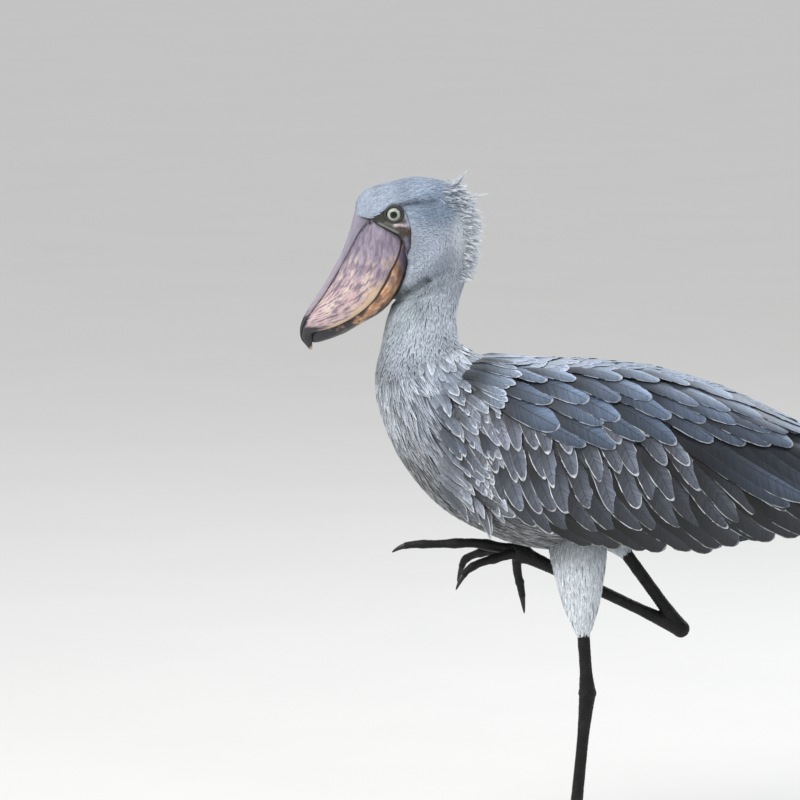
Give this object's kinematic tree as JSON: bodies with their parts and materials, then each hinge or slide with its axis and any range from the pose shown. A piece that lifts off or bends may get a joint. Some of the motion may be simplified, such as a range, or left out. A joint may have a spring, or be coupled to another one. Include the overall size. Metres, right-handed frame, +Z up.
{
  "type": "shoebill model",
  "caption": "Life-size still model of a shoebill wading: body level, heavy hooked bill held down, one foot raised and the other flat on the ground.",
  "frame": {"origin": "middle of the sole of the left foot, the one the bird stands on, at floor level", "axes": "+Z up, -X the way the bird faces, -Y its left side, which the picture shows"},
  "size_m": [0.9078, 0.2536, 0.9947],
  "materials": {
    "dark_plumage": "matt slate-grey feathers",
    "pale_plumage": "matt pale blue-grey feathers",
    "bill_horn": "satin mottled horn",
    "leg_skin": "scaled dark skin",
    "claw_horn": "satin black horn",
    "eye": "wet gloss"
  },
  "bodies": {
    "root": {"bill_lower": "bill_horn", "bill_upper": "bill_horn", "claw_left_hind": "claw_horn", "claw_left_inner": "claw_horn", "claw_left_middle": "claw_horn", "claw_left_outer": "claw_horn", "claw_right_hind": "claw_horn", "claw_right_inner": "claw_horn", "claw_right_middle": "claw_horn", "claw_right_outer": "claw_horn", "eye_left": "eye", "eye_right": "eye", "foot_left": "leg_skin", "foot_right": "leg_skin", "head": "pale_plumage", "neck": "pale_plumage", "shank_left": "leg_skin", "shank_right": "leg_skin", "tail": "dark_plumage", "thigh_left": "pale_plumage", "thigh_right": "pale_plumage", "torso": "dark_plumage", "wing_left": "dark_plumage", "wing_right": "dark_plumage"}
  },
  "joints": []
}
